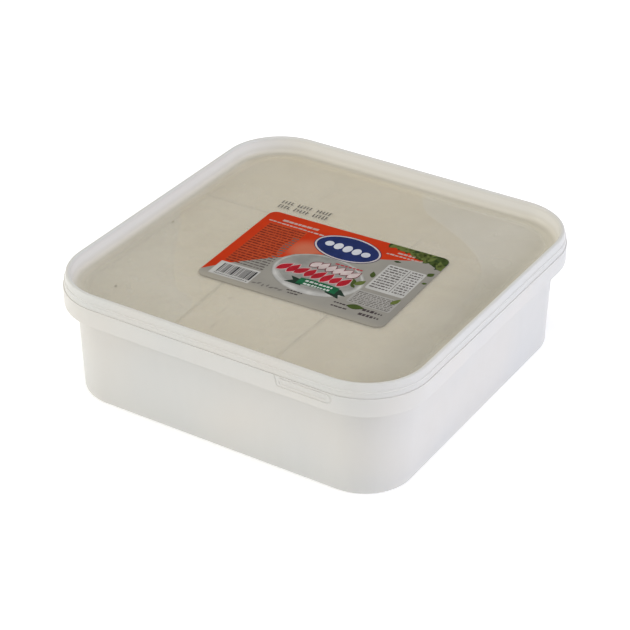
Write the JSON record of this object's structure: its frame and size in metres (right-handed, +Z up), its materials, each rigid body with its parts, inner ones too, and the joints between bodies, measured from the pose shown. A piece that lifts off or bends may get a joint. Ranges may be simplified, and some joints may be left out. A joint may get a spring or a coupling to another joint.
{
  "type": "tub of white cheese",
  "caption": "Shut square plastic tub of brined white cheese: cut blocks seen through the deep clear panel of a press-on lid that carries a label.",
  "frame": {"origin": "middle of the underside, on the surface the tub stands on", "axes": "+Z up; -Y is the face with the tear tab; +X is to the right of somebody facing that tab"},
  "size_m": [0.245, 0.245, 0.08],
  "materials": {
    "tub_plastic": "satin translucent white polypropylene",
    "lid_plastic": "glossy milky-clear polypropylene",
    "label_print": "satin printed film",
    "cheese": "moist white cheese"
  },
  "bodies": {
    "root": {"tub": "tub_plastic", "lid": "lid_plastic", "label": "label_print", "cheese_left": "cheese", "cheese_corner": "cheese", "cheese_middle": "cheese", "cheese_right": "cheese"}
  },
  "joints": []
}
